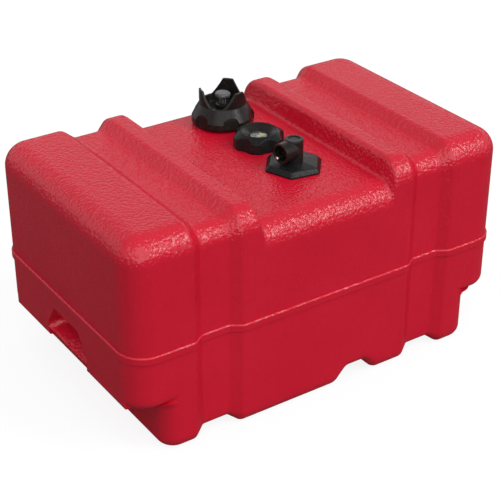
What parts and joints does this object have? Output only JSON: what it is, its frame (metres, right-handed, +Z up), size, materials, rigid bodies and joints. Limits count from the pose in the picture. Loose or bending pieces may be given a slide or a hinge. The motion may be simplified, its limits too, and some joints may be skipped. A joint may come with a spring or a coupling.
{
  "type": "portable outboard fuel tank",
  "caption": "Red moulded boat fuel tank with strap channels, lifting ledges, vented fill cap, float gauge and fuel pickup with a check valve.",
  "frame": {"origin": "centre of the tank's underside", "axes": "+X along the tank, -Y its front, +Z up"},
  "size_m": [0.5744, 0.3524, 0.328],
  "materials": {
    "tank_red": "moulded red polyethylene with a soft satin sheen and a fine pebbled skin",
    "black_plastic": "black moulded plastic, satin",
    "black_nylon": "black glass-filled nylon, slightly mottled",
    "grey_plastic": "grey moulded plastic button",
    "nitrile": "black fuel-resistant rubber",
    "steel": "plain stainless steel",
    "spring_steel": "stainless spring wire",
    "lens_clear": "clear moulded window",
    "dial_black": "dark dial without markings",
    "pointer_yellow": "yellow indicator sector",
    "float_white": "natural white float",
    "tube_natural": "natural polyethylene tube"
  },
  "bodies": {
    "tank": {"tank_shell": "tank_red", "pickup_collar": "tank_red", "gauge_ring": "black_nylon", "gauge_gasket": "nitrile", "gauge_body": "black_plastic", "gauge_lens": "lens_clear", "gauge_dial": "dial_black", "gauge_rods": "steel", "gauge_foot": "float_white", "pickup_nut": "black_nylon", "pickup_gasket": "nitrile", "pickup_spigot": "black_plastic", "pickup_elbow": "black_plastic", "pickup_tube": "tube_natural", "pickup_filter": "tube_natural"},
    "cap_seal": {"fill_cap_gasket": "nitrile"},
    "cap": {"fill_cap_grip": "black_plastic", "fill_cap_insert": "black_plastic", "vent_bush": "black_plastic", "vent_spring": "spring_steel"},
    "vent": {"vent_button": "grey_plastic", "vent_disc": "nitrile", "vent_clip": "steel"},
    "float": {"gauge_float": "float_white"},
    "pointer": {"gauge_pointer": "pointer_yellow", "gauge_spindle": "steel"},
    "outlet_valve": {"outlet_poppet": "steel", "outlet_seal": "nitrile", "outlet_spring": "spring_steel"}
  },
  "joints": [
    {"name": "cap_lift", "type": "slide", "parent": "tank", "child": "cap_seal", "axis": [0, 0, 1], "range_m": [0, 0.0075]},
    {"name": "cap_turn", "type": "hinge", "parent": "cap_seal", "child": "cap", "pos_m": [0.025, 0.1085, 0.277], "axis": [0, 0, 1], "range_deg": [0, 450]},
    {"name": "vent_press", "type": "slide", "parent": "cap", "child": "vent", "axis": [0, 0, 1], "range_m": [-0.004, 0], "stiffness_N_per_m": 500, "springref_m": 0.003, "deforming": ["vent_spring"]},
    {"name": "float_travel", "type": "slide", "parent": "tank", "child": "float", "axis": [0, 0, 1], "range_m": [0, 0.2]},
    {"name": "pointer_turn", "type": "hinge", "parent": "tank", "child": "pointer", "pos_m": [0.025, 0.021, 0.277], "axis": [0, 0, 1], "range_deg": [-270, 0]},
    {"name": "outlet_check", "type": "slide", "parent": "tank", "child": "outlet_valve", "axis": [0.9848, 0.1736, 0], "range_m": [0, 0.003], "stiffness_N_per_m": 300, "springref_m": -0.003}
  ],
  "couplings": [
    {"joint": "cap_lift", "follows": "cap_turn", "m_per_rad": 0.0009549},
    {"joint": "pointer_turn", "follows": "float_travel", "rad_per_m": -23.562}
  ]
}
